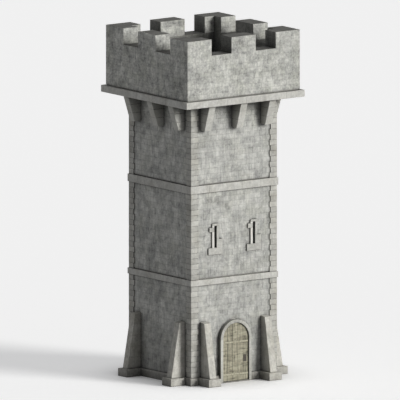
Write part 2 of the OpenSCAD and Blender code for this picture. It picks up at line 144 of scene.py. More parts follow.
def tube(rows, cols):
    """Quads from each closed ring of points to the next, and a cap at both ends."""
    number = np.arange(rows * cols).reshape(rows, cols)
    one, two = number[:-1], number[1:]
    sides = np.stack([one, np.roll(one, -1, 1), np.roll(two, -1, 1), two], -1).reshape(-1, 4)
    return [sides, np.stack([number[0, ::-1], number[-1]])]


def rim_of(count):
    """1 at the edge points of a square grid, and 0 inside it."""
    rim = np.ones((count, count))
    rim[1:-1, 1:-1] = 0
    return rim


def slab(front, back):
    """A closed slab between two grids of points, row by row up and column by column to the right."""
    quads, ring = grid_faces(*front.shape[:2])
    behind = front.size // 3
    return shape(np.stack([front, back]), [quads, quads[:, ::-1] + behind, skirt(ring, ring + behind)])


def stops(low, high, sizes):
    """Joints at the running total of the sizes, stretched to fill the span from low to high."""
    return low + np.concatenate([[0], np.cumsum(sizes)]) * (high - low) / sizes.sum()


def spread(low, high, pitch, seed, vary=0.12):
    """Lengths of about one pitch, a little uneven, that fill the span from low to high."""
    number = max(1, round((high - low) / pitch))
    edges = stops(low, high, np.random.default_rng(seed).uniform(1 - vary, 1 + vary, number))
    return list(zip(edges, edges[1:]))


def even(low, high, pitch):
    """Equal lengths of about one pitch that fill the span from low to high."""
    edges = np.linspace(low, high, max(1, round((high - low) / pitch)) + 1)
    return list(zip(edges, edges[1:]))


def piece(name, part, body, material, stands_for=None):
    """A mesh object from a shape, riding on a body. Each array of faces holds faces of equal sides."""
    mesh = bpy.data.meshes.new(name)
    corners = np.concatenate([f.ravel() for f in part["faces"]]).astype(np.int32)
    sides = np.concatenate([np.full(len(f), f.shape[1]) for f in part["faces"]])
    starts = np.concatenate([[0], np.cumsum(sides)[:-1]]).astype(np.int32)
    mesh.vertices.add(len(part["points"]))
    mesh.vertices.foreach_set("co", part["points"].astype(np.float32).ravel())
    mesh.loops.add(len(corners))
    mesh.loops.foreach_set("vertex_index", corners)
    mesh.polygons.add(len(sides))
    mesh.polygons.foreach_set("loop_start", starts)
    mesh.update(calc_edges=True)
    mesh.validate()
    for label in ("tone", "wear"):
        layer = mesh.attributes.new(label, "FLOAT", "POINT")
        layer.data.foreach_set("value", part[label].astype(np.float32))
    mesh.materials.append(material)
    mesh.shade_smooth()
    made = bpy.data.objects.new(name, mesh)
    scene.collection.objects.link(made)
    made.modifiers.new("flat faces", "WEIGHTED_NORMAL")
    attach(made, body)
    if stands_for:
        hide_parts(stands_for)


# ---- Stone facings: slabs bedded in a wall face ----
GRID = 5
SLIVER = 0.002
LEAST_SLAB = 0.03
EDGE_LIFT = 0.0008


def beside(spans, left, right):
    """The spans with an opening taken out: one inside it goes, and one that it crosses becomes two."""
    kept = []
    for a, b in spans:
        if right.max() <= a.min() or left.min() >= b.max():
            kept.append((a, b))
        elif a.min() < left.max() or b.max() > right.min():
            kept.append((a, np.minimum(b, np.maximum(left, a + SLIVER))))
            kept.append((np.maximum(a, np.minimum(right, b - SLIVER)), b))
    return kept


def grid_lines(arris):
    """Shares of a slab's size at its five grid lines: both edges, an arris in from each, and the middle."""
    return np.stack([0 * arris, arris, 0 * arris + 0.5, 1 - arris, 0 * arris + 1], -1)


def facing(place, right, up, rows, cuts=(), seed=0, lengths=(0.30, 0.62), gap=0.003, proud=0.003,
           depth=0.03, arris=0.004, crown=0.0012, relief=0.0010):
    """Coursed slabs over one wall face. A slab is a 5 by 5 grid whose height over the wall is 'proud' in
    the middle, plus a crown that is highest at its centre and a small tilt, and drops at the arrises. A row
    is (low, high, left, right); a cut gives an opening's left and right at a slab's heights, or nothing."""
    own = np.random.default_rng(seed)
    steps = np.linspace(0, 1, GRID)
    slabs = []
    for low, high, start, end in rows:
        number = max(1, round((end - start) / own.uniform(*lengths)))
        edges = stops(start, end, own.uniform(0.75, 1.25, number))
        heights = low + gap / 2 + (high - low - gap) * steps
        spans = [(a + gap / 2 + 0 * steps, b - gap / 2 + 0 * steps) for a, b in zip(edges, edges[1:])]
        for cut in cuts:
            opening = cut(heights)
            if opening:
                spans = beside(spans, *opening)
        slabs += [(a, b, heights) for a, b in spans if (b - a).max() > LEAST_SLAB]
    n = len(slabs)
    a, b, heights = (np.array(values) for values in zip(*slabs))
    low, tall = heights[:, 0], heights[:, -1] - heights[:, 0]
    share = grid_lines(arris / tall)
    a, b = (np.stack([np.interp(share[i], steps, side[i]) for i in range(n)]) for side in (a, b))
    wide = np.maximum(b - a, 1e-4)
    u = a[:, :, None] + wide[:, :, None] * grid_lines(np.minimum(arris / wide, 0.3))
    v = (low[:, None] + tall[:, None] * share)[:, :, None] + 0 * u
    rim = rim_of(GRID)
    tilt = own.uniform(-1, 1, (3, n, 1, 1)) * relief
    along = 2 * steps - 1
    upward = along[:, None]
    swell = crown * (1 - upward ** 2) * (1 - along ** 2) + 0.8 * tilt[0]
    swell = swell + 0.5 * (tilt[1] * upward + tilt[2] * along)
    height = np.where(rim, EDGE_LIFT, proud + swell)
    out = np.cross(right, up)
    flat = place + u[..., None] * right + v[..., None] * up
    quads, ring = grid_faces(GRID, GRID)
    face = (flat + height[..., None] * out).reshape(n, -1, 3)
    back = (flat - depth * out).reshape(n, -1, 3)[:, ring]
    points = np.concatenate([face, back], 1)
    each = points.shape[1]
    first = (np.arange(n) * each)[:, None, None]
    behind = rim.size + np.arange(len(ring))
    faces = [(np.concatenate([quads, skirt(ring, behind)]) + first).reshape(-1, 4),
             (behind[::-1] + first).reshape(n, -1)]
    tone = np.repeat(own.uniform(-1, 1, n), each)
    return shape(points, faces, tone, np.tile(np.concatenate([rim.ravel(), np.ones(len(ring))]), n))


def courses(low, high, pitch, left, right):
    """Rows of about one pitch in height that fill the span from low to high."""
    return [(a, b, left, right) for a, b in even(low, high, pitch)]


# ---- Worked stones: a rounded profile carried along a line or an arc ----
def rounded(corners, radius):
    """A closed profile with each corner replaced by three points of an arc: a quadratic curve from one
    tangent point over the corner to the other."""
    corners = np.array(corners, float)
    sides = np.stack([np.roll(corners, 1, 0), np.roll(corners, -1, 0)]) - corners
    sizes = np.linalg.norm(sides, axis=2, keepdims=True)
    start, end = corners + sides / sizes * np.minimum(radius, 0.45 * sizes.min(0))
    t = np.linspace(0, 1, 3)[:, None]
    curve = (1 - t) ** 2 * start[:, None] + 2 * t * (1 - t) * corners[:, None] + t ** 2 * end[:, None]
    return curve.reshape(-1, 2)


def shrunk(profile, amount):
    """The profile moved inwards by an amount along the mean of its two side normals at each point."""
    along = np.roll(profile, -1, 0) - np.roll(profile, 1, 0)
    along /= np.linalg.norm(along, axis=1)[:, None]
    return profile + amount * np.stack([-along[:, 1], along[:, 0]], 1)


def straight(axis):
    """Stations along an axis of the tower. The profile's own axes are the other two, in turning order."""
    line, first, second = np.roll(np.eye(3), -axis, 0)
    return lambda t: (t[:, None] * line, first + 0 * t[:, None], second + 0 * t[:, None])


def arc(centre, radius):
    """Stations along an arc over the X axis, by the way gone at its radius: the profile's first axis points
    out from the centre and its second along Y."""
    def stations(t):
        out = np.stack([np.cos(t / radius), 0 * t, np.sin(t / radius)], 1)
        return centre + 0 * out, out, Y + 0 * out
    return stations


def worked(profile, path, spans, arris, seed):
    """Stones cut from one profile, butted end to end. The profile (anticlockwise) is carried through five
    stations of each span. At both ends it is shrunk by the arris, so that neighbours meet in a V joint."""
    own = np.random.default_rng(seed)
    end = shrunk(profile, arris)
    outline = np.stack([end, profile, profile, profile, end])[..., None]
    rim = np.zeros(outline.shape[:2])
    rim[[0, -1]] = 1
    parts = []
    for a, b in spans:
        step = min(arris, 0.2 * (b - a))
        origin, first, second = path(np.array([a, a + step, a + (b - a) / 2, b - step, b]))
        points = origin[:, None] + outline[:, :, 0] * first[:, None] + outline[:, :, 1] * second[:, None]
        parts.append(shape(points, tube(*rim.shape), own.uniform(-1, 1), rim.ravel()))
    whole = joined(parts)
    whole["points"] = wander(whole["points"], 0.0012, 0.9)
    whole["points"][:, 2] = np.maximum(whole["points"][:, 2], 0)
    return whole


def blocks(low, high, axis, arris, radius, seed, spans=None):
    """Rectangular stones filling a box: one of them, or one for each span along an axis."""
    low, high = np.array(low, float), np.array(high, float)
    u, v = (axis + 1) % 3, (axis + 2) % 3
    profile = rounded([(low[u], low[v]), (high[u], low[v]), (high[u], high[v]), (low[u], high[v])], radius)
    return worked(profile, straight(axis), spans or [(low[axis], high[axis])], arris, seed)


# ---- Finishes ----
def tint(code):
    """A colour written as six hex digits, turned to the linear values that a shader takes."""
    values = np.array([int(code[i:i + 2], 16) for i in (0, 2, 4)]) / 255
    return (*np.where(values <= 0.04045, values / 12.92, ((values + 0.055) / 1.055) ** 2.4), 1.0)


def grey(value):
    """A neutral colour of one linear value."""
    return (value, value, value, 1.0)


class Nodes:
    """A node tree, and short ways to add nodes to it."""

    def __init__(self, tree):
        self.tree = tree

    def node(self, kind, inputs=None, **settings):
        """The outputs of a new node with these settings, whose inputs take sockets or values."""
        made = self.tree.nodes.new("ShaderNode" + kind)
        for key, value in settings.items():
            setattr(made, key, value)
        for key, value in (inputs or {}).items():
            if isinstance(value, bpy.types.NodeSocket):
                self.tree.links.new(value, made.inputs[key])
            else:
                made.inputs[key].default_value = value
        return made.outputs

    def math(self, operation, a, b=0.0):
        return self.node("Math", {0: a, 1: b}, operation=operation)[0]

    def ramp(self, value, low=0.0, high=1.0, to_low=0.0, to_high=1.0, **settings):
        return self.node("MapRange", {0: value, 1: low, 2: high, 3: to_low, 4: to_high},
                         **settings)[0]

    def mix(self, factor, a, b, kind="MIX"):
        inputs = {0: factor, 6: a, 7: b}
        return self.node("Mix", inputs, data_type="RGBA", blend_type=kind)[2]

    def axes(self, vector):
        """The three parts of a vector."""
        return self.node("SeparateXYZ", {0: vector})

    def open_sky(self, distance, samples):
        """1 where nothing stands within a distance, falling to 0 in deep hollows."""
        inputs = {"Distance": distance}
        return self.node("AmbientOcclusion", inputs, samples=samples)["AO"]

    def seen_or_mirrored(self):
        """1 for rays from the camera and for those seen in gloss or through glass, else 0."""
        path = self.node("LightPath")
        mirrored_too = self.math("MAXIMUM", path["Is Camera Ray"], path["Is Glossy Ray"])
        return self.math("MAXIMUM", mirrored_too, path["Is Transmission Ray"])


class Finish(Nodes):
    """A material whose patterns are laid on Object coordinates."""

    def __init__(self, name):
        self.material = bpy.data.materials.new(name)
        self.material.use_nodes = True
        super().__init__(self.material.node_tree)
        self.shader = self.tree.nodes["Principled BSDF"]
        self.place = self.node("TexCoord")["Object"]

    def noise(self, scale, detail, roughness, stretch=(1, 1, 1), at=(0, 0, 0), distortion=0.0):
        mapped = self.node("Mapping", {"Vector": self.place, "Scale": stretch, "Location": at})
        return self.node("TexNoise", {
            "Vector": mapped[0], "Scale": scale, "Detail": detail,
            "Roughness": roughness, "Distortion": distortion})[0]

    def attribute(self, name):
        return self.node("Attribute", attribute_name=name)["Fac"]

    def weighed(self, start, *terms):
        """The start plus each term's weight times how far its pattern is from its middle, mostly 0.5."""
        total = start
        for pattern, weight, *middle in terms:
            away = self.math("SUBTRACT", pattern, *(middle or [0.5]))
            total = self.math("ADD", total, self.math("MULTIPLY", away, weight))
        return total

    def between(self, value, dark, light):
        return self.mix(self.ramp(value), tint(dark), tint(light))

    def darkened(self, colour, share):
        """The colour times a share from 0 to 1."""
        shade = self.node("CombineColor", {i: share for i in range(3)})[0]
        return self.mix(1.0, colour, shade, "MULTIPLY")

    def hollow_shade(self, reach, deep, start, end):
        """1 on open faces, falling to 'deep' in corners and hollows: the share of colour left under painted
        shade.
        """
        return self.ramp(self.open_sky(reach, 8), start, end, deep)

    def with_painted_shade(self, colour, reach, deep, opening, joints, front_shade_share):
        """The colour darkened by painted shade in corners and under ledges over a wide reach, and in joints
        and contact lines over a narrow one. The wide part is full on flanks and towards the back, which
        stand in shade. Other faces keep less of it towards the front: only 'front_shade_share' at the
        front, and two fifths of that at the foot."""
        x, y, z = self.axes(self.place)
        flank = self.math("ABSOLUTE", self.axes(self.node("NewGeometry")["Normal"])[0])
        full_shade = self.math("MAXIMUM", flank, self.ramp(y, -1.0, 1.0))
        share = self.math("MAXIMUM", full_shade, self.ramp(z, 0.0, 4.0, front_shade_share * 0.4, front_shade_share))
        hollow_darkness = self.math("SUBTRACT", 1.0, self.hollow_shade(reach, deep, *opening))
        wide = self.math("SUBTRACT", 1.0, self.math("MULTIPLY", share, hollow_darkness))
        return self.darkened(colour, self.math("MULTIPLY", wide, self.hollow_shade(0.08, joints, 0.42, 0.90)))

    def finish(self, colour, relief, depth, strength, roughness):
        """The material with its colour, its roughness and a bump from the relief."""
        normal = self.node("Bump", {"Height": relief, "Distance": depth, "Strength": strength})
        sockets = {"Base Color": colour, "Normal": normal[0], "Roughness": roughness}
        for label, socket in sockets.items():
            self.tree.links.new(socket, self.shader.inputs[label])
        return self.material


def stone(name, light, dark, stain, patches=1.0, mottle=0.9, streaks=0.5, grain=0.5, tone=0.05, reach=0.8,
          deep=0.12, opening=(0.28, 0.93), joints=0.45, front_shade_share=1.0, foot_shade=0.0):
    """Weathered stone: broad patches, mottling, rain streaks that run down, fine grain, a tone of its own
    for each stone, paler worn arrises, a warm or green stain in places, and painted shade in hollows, in
    joints and towards the ground."""
    f = Finish(name)
    broad = f.noise(0.9, 5, 0.62)
    patch = f.noise(3.1, 6, 0.62, distortion=0.4)
    spots = f.noise(11, 4, 0.6)
    streak = f.noise(1.0, 4, 0.6, stretch=(13, 13, 1.6))
    fine = f.noise(70, 2, 0.6)
    value = f.weighed(0.55, (broad, 0.6 * patches), (patch, patches), (spots, mottle), (streak, streaks),
                      (fine, grain), (f.attribute("tone"), tone, 0.0), (f.attribute("wear"), 0.04, 0.0))
    warm = f.ramp(f.noise(1.7, 3, 0.5, at=(7, 3, 1)), 0.45, 0.70, 0.0, 0.35)
    colour = f.mix(warm, f.between(value, dark, light), tint(stain), "MULTIPLY")
    # Painted shade in corners, joints and under ledges, fuller on the shaded sides.
    colour = f.with_painted_shade(colour, reach, deep, opening, joints, front_shade_share)
    # Painted shade: darker towards the ground by foot_shade.
    colour = f.darkened(colour, f.ramp(f.axes(f.place)[2], 0.0, 2.6, 1.0 - foot_shade))
    relief = f.weighed(0.5, (spots, 0.6), (patch, 0.5), (fine, 0.25))
    return f.finish(colour, relief, 0.012, 0.8, f.ramp(fine, 0.3, 0.7, 0.82, 0.96))


def bedding(name, light, dark):
    """The wall behind the facing: rough mortar and rubble, laid in courses with sunken joints."""
    f = Finish(name)
    x, y, z = f.axes(f.place)
    flat = f.node("CombineXYZ", {0: f.math("ADD", x, y), 1: z})[0]
    laid = f.node("TexBrick", {
        "Vector": flat, "Color1": grey(1.0), "Color2": grey(0.6), "Mortar": grey(0.0), "Scale": 1.0,
        "Mortar Size": 0.012, "Mortar Smooth": 0.4, "Brick Width": 0.48, "Row Height": 0.2275})[0]
    rough = f.noise(9, 6, 0.65)
    fine = f.noise(60, 3, 0.6)
    value = f.weighed(0.45, (laid, 0.35), (rough, 1.2), (fine, 0.5))
    relief = f.weighed(0.4, (laid, 0.5), (rough, 0.6))
    return f.finish(f.between(value, dark, light), relief, 0.02, 0.9, f.ramp(fine, 0.3, 0.7, 0.85, 0.97))


def oak(name, light, dark, along, weathered="9c9a86", boards=0.0, checks=0.0):
    """Silvered oak: long fibres drawn out along one axis, wavy rings, fine pores, dark checks, and worn
    marks that run across the grain. Board edges are paler for a positive 'boards' (wear) and darker for a
    negative one (painted shade in the seams), and corners take painted shade."""
    f = Finish(name)
    stretch = [14.0, 14.0, 14.0]
    stretch[along] = 0.9
    cross = [6.0, 6.0, 6.0]
    cross[0 if along == 2 else 2] = 1.6
    fibres = f.noise(1.6, 5, 0.6, stretch=stretch, distortion=0.3)
    rings = f.noise(4.5, 3, 0.5, stretch=[s / 6 for s in stretch], distortion=1.2)
    pores = f.noise(9, 3, 0.7, stretch=stretch)
    blotches = f.noise(2.6, 4, 0.6)
    marks = f.noise(1.3, 4, 0.6, stretch=cross, distortion=0.8)
    value = f.weighed(0.55, (fibres, 1.1), (rings, 0.8), (pores, 0.9), (blotches, 0.9), (marks, 2.0),
                      (f.attribute("tone"), 0.12, 0.0), (f.attribute("wear"), boards, 0.0))
    colour = f.mix(f.ramp(blotches, 0.4, 0.65, 0.0, 0.35), f.between(value, dark, light), tint(weathered))
    split = f.math("MAXIMUM", f.ramp(fibres, 0.40, 0.33), f.ramp(marks, 0.40, 0.32))
    colour = f.mix(f.math("MULTIPLY", split, checks), colour, tint("3d392d"))
    # Painted shade in corners.
    colour = f.darkened(colour, f.hollow_shade(0.06, 0.25, 0.35, 0.88))
    relief = f.weighed(0.5, (fibres, 0.8), (pores, 0.6))
    return f.finish(colour, relief, 0.004, 0.9, f.ramp(pores, 0.3, 0.7, 0.65, 0.9))


def forged(name, light, dark, rust):
    """Forged iron: hammer marks, a dark scale and rust in the hollows."""
    f = Finish(name)
    f.shader.inputs["Metallic"].default_value = 0.55
    marks = f.node("TexVoronoi", {"Vector": f.place, "Scale": 55.0}, feature="SMOOTH_F1")[0]
    scale = f.noise(30, 5, 0.65)
    patch = f.noise(9, 4, 0.6)
    value = f.weighed(0.45, (marks, 0.5, 0.4), (scale, 1.1), (f.attribute("wear"), 0.3, 0.0))
    colour = f.mix(f.ramp(patch, 0.52, 0.66, 0.0, 0.55), f.between(value, dark, light), tint(rust))
    relief = f.weighed(0.5, (marks, 0.7, 0.4), (scale, 0.3))
    return f.finish(colour, relief, 0.0025, 0.8, f.ramp(scale, 0.3, 0.7, 0.45, 0.75))


wall_stone = stone(
    "wall stone", "d5d5cf", "868684", "d6d6ca", patches=1.7, mottle=0.75, streaks=0.85, grain=0.4,
    joints=0.42)
# Copy for the left and back walls, which stand in shade: stronger patches, and painted shade darkening the
# foot.
shaded_stone = stone(
    "shaded wall stone", "d7d7d1", "888886", "d6d6ca", patches=2.0, streaks=1.0, reach=0.55, joints=0.42,
    foot_shade=0.33)
quoin_stone = stone(
    "quoin stone", "cfcec7", "93928d", "d8d3c6", mottle=0.8, tone=0.18, reach=0.6, joints=0.28,
    front_shade_share=0.5)
base_stone = stone(
    "base stone", "dfddd5", "9c9a93", "d6d3c6", patches=1.2, streaks=0.8, deep=0.05, opening=(0.15, 0.88),
    front_shade_share=0.4)
plinth_stone = stone("plinth stone", "d0cec7", "8c8a85", "d6d3c6", patches=1.2, streaks=0.8)
band_stone = stone("band stone", "dad9d3", "a09f9a", "d8d4ca", reach=0.35, joints=0.3)
corbel_stone = stone("corbel stone", "dddcd5", "a7a69f", "d8d4ca", patches=0.9, mottle=0.7)
dressed_stone = stone(
    "dressed stone", "d5d4ce", "9c9b95", "d8d4c8", patches=1.1, mottle=1.0, reach=0.5, deep=0.06)
surround_stone = stone(
    "surround stone", "d2d1ca", "9a9993", "d8d4c8", patches=1.1, reach=0.9, deep=0.16, front_shade_share=0.6)
# The left door jamb, paler than the same stone in the right jamb and arch: a painted highlight on its lit
# front.
highlit_surround = stone(
    "surround stone with painted highlight", "e4e3dc", "b4b3ac", "dcdad0", patches=0.7, mottle=0.7, streaks=0.4, reach=0.9,
    deep=0.16)
# Slit jamb strips much paler than the other dressed stones: a painted highlight on their lit fronts.
highlit_jamb_stone = stone(
    "jamb stone with painted highlight", "eceae4", "cbc9c2", "e2e0d8", patches=0.6, mottle=0.5, streaks=0.3, reach=0.2)
exposed = dict(light="d5d5ce", dark="828280", stain="d3d5c9", deep=0.3, opening=(0.15, 0.85))
parapet_stone = stone("parapet stone", patches=1.8, mottle=1.3, streaks=0.6, **exposed)
shaded_parapet = stone("shaded parapet stone", patches=2.1, mottle=1.5, streaks=0.7, **exposed)
# Dark stone for the well and the inner faces along X, which stand in shade: painted shade.
shaded_inner_stone = stone(
    "sheltered parapet stone", "9b9b95", "5c5c59", "b9bcae", patches=1.4, mottle=1.0, streaks=0.8,
    reach=1.6, deep=0.08)
# Tops far darker than the faces: partly weathering, partly painted shade on faces that look up.
weathering_and_shade_caps = stone(
    "parapet tops weathered and in painted shade", "74736e", "484845", "9a9c8c", patches=1.4, mottle=1.0, streaks=0.0, reach=0.6)
flag_stone = stone("flagstone", "9b978c", "5f5c55", "a39b86", patches=1.2, streaks=0.0, reach=0.6)
wall_bedding = bedding("wall bedding", "bcbbb4", "74736d")
parapet_bedding = bedding("parapet bedding", "b4b3ac", "6c6b66")
floor_bed = bedding("floor bed", "7b776d", "494640")
floor_oak = oak("floor oak", "85745c", "4a3d2e", 0, weathered="7d7260")
joist_oak = oak("joist oak", "7a6952", "43372a", 1, weathered="73695a")
# A negative 'boards' darkens the plank edges: painted shade in the seams.
door_oak = oak("door oak", "bab59f", "605c4d", 2, boards=-0.45, checks=0.7)
rail_oak = oak("rail oak", "cac5af", "8b8672", 0, boards=0.05, checks=0.3)
iron = forged("wrought iron", "6c675d", "282521", "50463a")

BARE_NODES = (
    (wall_bedding, ["front_wall_door_left", "front_wall_door_right", "front_wall_over_door",
                    "front_wall_upper", "back_wall", "left_wall", "right_wall"]),
    (parapet_bedding, ["parapet_" + side for side in SIDES]),
    (floor_bed, ["ground_floor", "roof_deck"]),
    (joist_oak, ["first_floor_joists"]),
    (iron, ["hinge_pintles", "door_straps", "lock_plate"]))
for material, names in BARE_NODES:
    for name in names:
        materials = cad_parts[name].data.materials
        materials.clear()
        materials.append(material)

# ---- Wall facing ----
STOREYS = ((PLINTH_TOP, LOWER_STRING, 0.0), (MIDDLE_WALL, UPPER_STRING, JOINT_TALL),
           (UPPER_WALL, CORNICE_FOOT, JOINT_TALL))


def storey_rows(low, high, flank, joint):
    """One row for each quoin course of a storey, shorter where the quoin turns its long side to this face.
    The lowest row stands clear of the recessed joint."""
    rows = []
    for i, (foot, head) in enumerate(even(low, high, QUOIN_COURSE)):
        long_here = (i % 2 == 0) != flank
        reach = QUOIN_FACE - (QUOIN_LONG if long_here else QUOIN_SHORT) + FACING_LAP
        rows.append((foot + (joint if i == 0 else 0), head, -reach, reach))
    return rows


def doorway(z):
    """The doorway's left and right at each height: straight to the springing, then a circle."""
    reach = SURROUND_R - FACING_LAP
    if z.min() > SPRING + reach:
        return None
    half = np.sqrt(np.maximum(reach ** 2 - np.maximum(z - SPRING, 0) ** 2, 0))
    return -half, half


def slit_at(x):
    """The strip that a slit and its jambs take from the facing."""
    half = SLIT_STRIP - SLIT_LAP

    def cut(z):
        if z.max() < SLIT_FOOT or z.min() > SLIT_HEAD:
            return None
        return 0 * z + x - half, 0 * z + x + half
    return cut


FRONT_CUTS = ([doorway], [slit_at(x) for x in SLITS], [])
for quarter, side in enumerate(SIDES):
    parts = []
    for level, (low, high, joint) in enumerate(STOREYS):
        rows = storey_rows(low, high, quarter % 2 == 1, joint)
        cuts = FRONT_CUTS[level] if side == "front" else []
        parts.append(facing(-HALF * Y, X, Z, rows, cuts, 11 * quarter + level))
    piece("wall_stones_" + side, turned(joined(parts), quarter), "tower",
          shaded_stone if side in SHADED else wall_stone)

# ---- Quoins ----
rng = np.random.default_rng(572)


def quoin_stones():
    """The front left corner: a block for each course, long on the front in even courses and on the side
    in odd ones, each with rounded arrises so that two of them meet in a V joint."""
    parts = []
    for low, high, _ in STOREYS:
        for i, (foot, head) in enumerate(even(low, high, QUOIN_COURSE)):
            wide, deep = (QUOIN_LONG, QUOIN_SHORT) if i % 2 == 0 else (QUOIN_SHORT, QUOIN_LONG)
            corner = -QUOIN_FACE - rng.uniform(0, 0.003)
            parts.append(blocks((corner, corner, foot), (-QUOIN_FACE + wide, -QUOIN_FACE + deep, head), 2,
                                0.010, 0.012, int(rng.integers(1e6))))
    return joined(parts)


for corner, left_hand, quarter in (("front_left", True, 0), ("front_right", False, 0),
                                   ("back_left", False, 2), ("back_right", True, 2)):
    stack = quoin_stones() if left_hand else mirrored(quoin_stones())
    piece("quoin_stones_" + corner, turned(stack, quarter), "tower", quoin_stone,
          "quoins_" + corner)


# ---- Courses that run round the tower ----
def course_side(start, end, low, high, face, inner, chamfer, pitch, seed):
    """Stones side by side along the front, cut from a block whose outer top edge is chamfered."""
    profile = rounded([(-face, low), (-inner, low), (-inner, high), (-face + chamfer, high),
                       (-face, high - chamfer)], 0.008)
    return worked(profile, straight(0), spread(start, end, pitch, seed), 0.005, seed)


def ring_of_stones(low, high, face, pitch, seed):
    """A course on all four sides. Its front and back run through the corners."""
    sides = [course_side(-reach, reach, low, high, face, ROOM_HALF, 0.012, pitch, seed + quarter)
             for quarter, reach in enumerate((face, ROOM_HALF, face, ROOM_HALF))]
    return [turned(side, quarter) for quarter, side in enumerate(sides)]


def plinth_side(start, end, seed):
    """The same for the plinth, whose chamfer is deeper."""
    return course_side(start, end, 0, PLINTH_TOP, PLINTH_FACE, GROUND_ROOM_HALF, 0.04, 0.8, seed)


bands = (ring_of_stones(LOWER_STRING, MIDDLE_WALL, BAND_FACE, 0.95, 31)
         + ring_of_stones(UPPER_STRING, UPPER_WALL, BAND_FACE, 0.95, 41))
piece("string_course_stones", joined(bands), "tower", band_stone, "string_courses")
piece("cornice_stones", joined(ring_of_stones(CORNICE_FOOT, CORNICE_TOP, CORNICE_FACE, 1.01, 51)),
      "tower", band_stone, "cornice")

parts = [plinth_side(-PLINTH_FACE, -SURROUND_R, 61), plinth_side(SURROUND_R, PLINTH_FACE, 62)]
for left, right in ((-SURROUND_R, -REVEAL_HALF), (REVEAL_HALF, SURROUND_R)):
    parts.append(blocks((left, -HALF, 0), (right, -GROUND_ROOM_HALF, PLINTH_TOP), 2, 0.005, 0.006, 63))
piece("plinth_stones_front", joined(parts), "tower", plinth_stone, "plinth_front")
for quarter, side in enumerate(SIDES[1:], 1):
    reach = PLINTH_FACE if side == "back" else GROUND_ROOM_HALF
    part = plinth_side(-reach, reach, 63 + quarter)
    # The left plinth, which stands in shade, is set darker: painted shade.
    part["tone"] -= 2.0 if side == "left" else 0.0
    piece("plinth_stones_" + side, turned(part, quarter), "tower", plinth_stone,
          "plinth_" + side)

# ---- Buttresses and corbels ----
PIER_PLACES = (-1.56, 1.56)
PIER_WIDE = 0.33
PIER_TOP = 2.66
PIER_OUT = (0.705, 0.30)
PIER_FALL = 0.04
FOOT_HALF = 0.32
FOOT_OUT = 0.845
FOOT_IN = -PLINTH_FACE + 0.02
CORBEL_PLACES = (-1.56, 0.085, 1.56)
CORBEL_WIDE = 0.34
CORBEL_FOOT = CORNICE_FOOT - 1.10
CORBEL_OUT = (0.33, 0.68)
BEDDED = 0.02


def raking(x, width, low, high, out, number, radius, seed, fall=0.0):
    """Stones stacked under a raking face, which stands out from the wall by one length at its foot and by
    another at its head: each is a slice of the pier's side view, carried across its width. The top one
    falls a little from the wall out to its face."""
    edges = np.linspace(low, high, number + 1)
    fronts = np.append(edges[:-1], high - fall)
    outs = np.interp(fronts, [low, high - fall], out)
    stones = []
    for i in range(number):
        profile = rounded([(-HALF - outs[i], fronts[i]), (-HALF + BEDDED, edges[i]),
                           (-HALF + BEDDED, edges[i + 1]), (-HALF - outs[i + 1], fronts[i + 1])], radius)
        stones.append(worked(profile, straight(0), [(x - width / 2, x + width / 2)], radius, seed + i))
    return stones


for quarter, side in enumerate(SIDES):
    parts = []
    for j, x in enumerate(PIER_PLACES):
        parts += raking(x, PIER_WIDE, PLINTH_TOP, PIER_TOP, PIER_OUT, 5, 0.004, 100 + 20 * quarter + 9 * j,
                        PIER_FALL)
        foot = blocks((x - FOOT_HALF, -HALF - FOOT_OUT, 0), (x + FOOT_HALF, FOOT_IN, PLINTH_TOP), 1,
                      0.012, 0.014, 7 * quarter + j)
        foot["tone"] -= 3.0
        parts.append(foot)
    piece("buttress_stones_" + side, turned(joined(parts), quarter), "tower", base_stone,
          "buttresses_" + side)
    parts = []
    for j, x in enumerate(CORBEL_PLACES):
        parts += raking(x, CORBEL_WIDE, CORBEL_FOOT, CORNICE_FOOT, CORBEL_OUT, 3, 0.009,
                        200 + 20 * quarter + 4 * j)
    piece("corbel_stones_" + side, turned(joined(parts), quarter), "tower", corbel_stone,
          "corbels_" + side)

# ---- Parapet ----
PROUD = 0.005
COURSE = 0.2256
INSET = 0.002
EDGE = PARAPET_FACE + 0.003
MERLONS = ((-EDGE, -CRENEL_OUT + PROUD), (-CRENEL_IN - PROUD, CRENEL_IN + PROUD),
           (CRENEL_OUT - PROUD, EDGE))
INNER_MERLONS = ((CRENEL_OUT, PARAPET_BACK), (-CRENEL_IN, CRENEL_IN), (-PARAPET_BACK, -CRENEL_OUT))
MERLON_TOP = TOWER_TOP + PROUD

